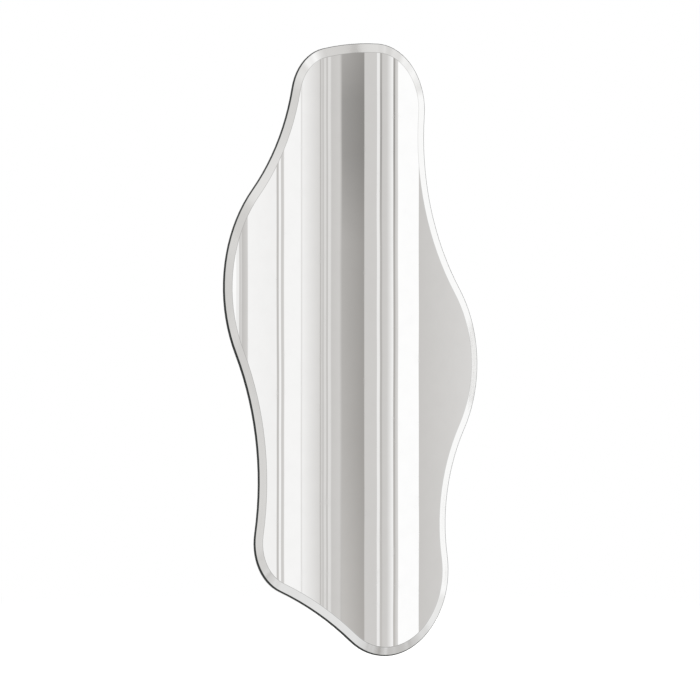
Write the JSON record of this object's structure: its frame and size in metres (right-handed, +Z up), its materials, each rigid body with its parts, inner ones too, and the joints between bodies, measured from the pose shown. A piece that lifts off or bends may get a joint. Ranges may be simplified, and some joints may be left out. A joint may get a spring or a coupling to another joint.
{
  "type": "irregular wall mirror",
  "caption": "Frameless wall mirror with a wavy, uneven outline and a bevelled rim, bonded to a smaller backing board with swinging wire rings to hang it by and rubber pads against the wall.",
  "frame": {"origin": "on the wall's plane, midway between the two hooks that the hanging rings sit on", "axes": "+Z up along the mirror's long side, -Y out of the wall through the front of the glass, +X to the right as seen from the front"},
  "size_m": [0.5449, 0.0213, 0.9998],
  "materials": {
    "mirror_glass": "silvered float glass, polished flat, with a ground and polished bevel and rim",
    "backing_paint": "grey protective paint over the silvering",
    "safety_film": "pale grey self-adhesive shatter-proof film",
    "foam_tape": "white closed-cell foam tape",
    "mirror_adhesive": "cured mirror adhesive",
    "backing_board": "fibreboard painted matt black",
    "zinc_steel": "zinc-plated sheet steel",
    "nickel_wire": "nickel-plated wire",
    "screw_steel": "zinc-plated screws",
    "pad_rubber": "moulded black rubber"
  },
  "bodies": {
    "mirror": {"mirror_glass": "mirror_glass", "silver_backing": "backing_paint", "safety_film": "safety_film", "foam_tape_left": "foam_tape", "foam_tape_middle": "foam_tape", "foam_tape_right": "foam_tape", "adhesive_bead_outer_left": "mirror_adhesive", "adhesive_bead_inner_left": "mirror_adhesive", "adhesive_bead_inner_right": "mirror_adhesive", "adhesive_bead_outer_right": "mirror_adhesive", "backing_board": "backing_board", "hanger_strap_left": "zinc_steel", "hanger_strap_right": "zinc_steel", "hanger_screws": "screw_steel", "wall_pad_top_left": "pad_rubber", "wall_pad_top_right": "pad_rubber", "wall_pad_bottom_left": "pad_rubber", "wall_pad_bottom_right": "pad_rubber"},
    "left_ring": {"hanger_ring_left": "nickel_wire"},
    "right_ring": {"hanger_ring_right": "nickel_wire"}
  },
  "joints": [
    {"name": "left_ring_swing", "type": "hinge", "parent": "mirror", "child": "left_ring", "pos_m": [-0.1, -0.00364, -0.0135], "axis": [-1, 0, 0], "range_deg": [0, 177]},
    {"name": "right_ring_swing", "type": "hinge", "parent": "mirror", "child": "right_ring", "pos_m": [0.1, -0.00364, -0.0135], "axis": [-1, 0, 0], "range_deg": [0, 177]}
  ]
}
